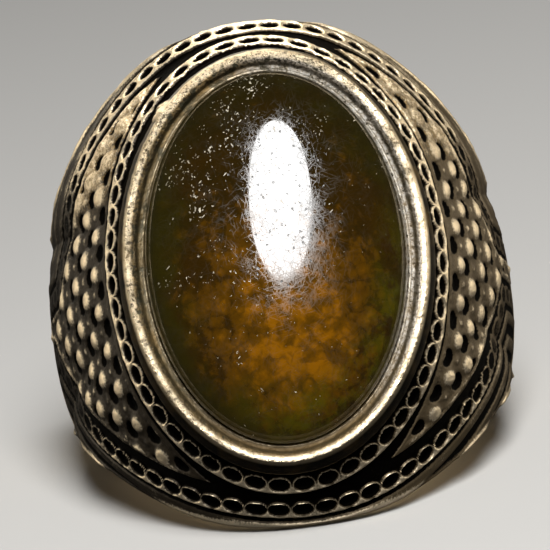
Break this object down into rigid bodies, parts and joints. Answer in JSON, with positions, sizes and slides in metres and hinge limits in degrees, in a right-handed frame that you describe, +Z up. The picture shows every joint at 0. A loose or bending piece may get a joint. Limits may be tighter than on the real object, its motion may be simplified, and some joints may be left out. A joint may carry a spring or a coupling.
{
  "type": "cabochon ring",
  "caption": "Oval cabochon ring lying on its side: a domed olive and amber stone in a raised bezel, on an oxidised silver band with rows of pits and bossed side panels.",
  "frame": {"origin": "centre of the ring's footprint box, on the surface that it lies on", "axes": "+Z up; the stone faces -Y and a little upwards; +X is to the right as the stone is looked at; the finger hole's axis lies in the YZ plane, 25.8 degrees from +Z towards +Y"},
  "size_m": [0.0242, 0.029, 0.0237],
  "materials": {
    "silver": "cast silver, worn bright on the high places and blackened in the recesses",
    "stone": "polished olive and amber agate with fine scratches and white specks"
  },
  "bodies": {
    "root": {"ring_body": "silver", "cabochon": "stone"}
  },
  "joints": []
}
